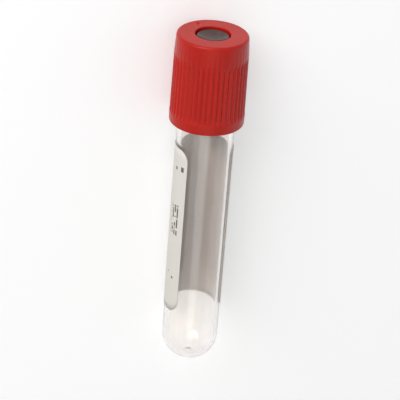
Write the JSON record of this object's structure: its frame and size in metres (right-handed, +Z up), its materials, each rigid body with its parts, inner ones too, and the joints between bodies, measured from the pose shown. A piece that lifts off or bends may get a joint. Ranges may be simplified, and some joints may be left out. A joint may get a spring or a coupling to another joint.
{
  "type": "blood collection tube",
  "caption": "Clear round-bottomed blood collection tube, closed by a rubber stopper in a ribbed red safety shield, with a paper label that leaves a clear strip.",
  "frame": {"origin": "under the middle of the part, on the floor that it lies on", "axes": "+Y along the tube from its round end towards the closure, +Z up from the floor. The tube's own axis leans up by 1.97 degrees towards the closure, because the shield is wider than the tube"},
  "size_m": [0.0168, 0.0816, 0.017],
  "materials": {
    "clear_plastic": "clear gloss",
    "paper": "matt coated paper with grey print",
    "stopper_rubber": "satin",
    "red_plastic": "satin moulded"
  },
  "bodies": {
    "tube_body": {"tube": "clear_plastic", "label": "paper"},
    "closure": {"stopper": "stopper_rubber", "safety_shield": "red_plastic"}
  },
  "joints": [
    {"name": "closure_pull", "type": "slide", "parent": "tube_body", "child": "closure", "axis": [0, 0.9994, 0.0343], "range_m": [0, 0.025]}
  ]
}
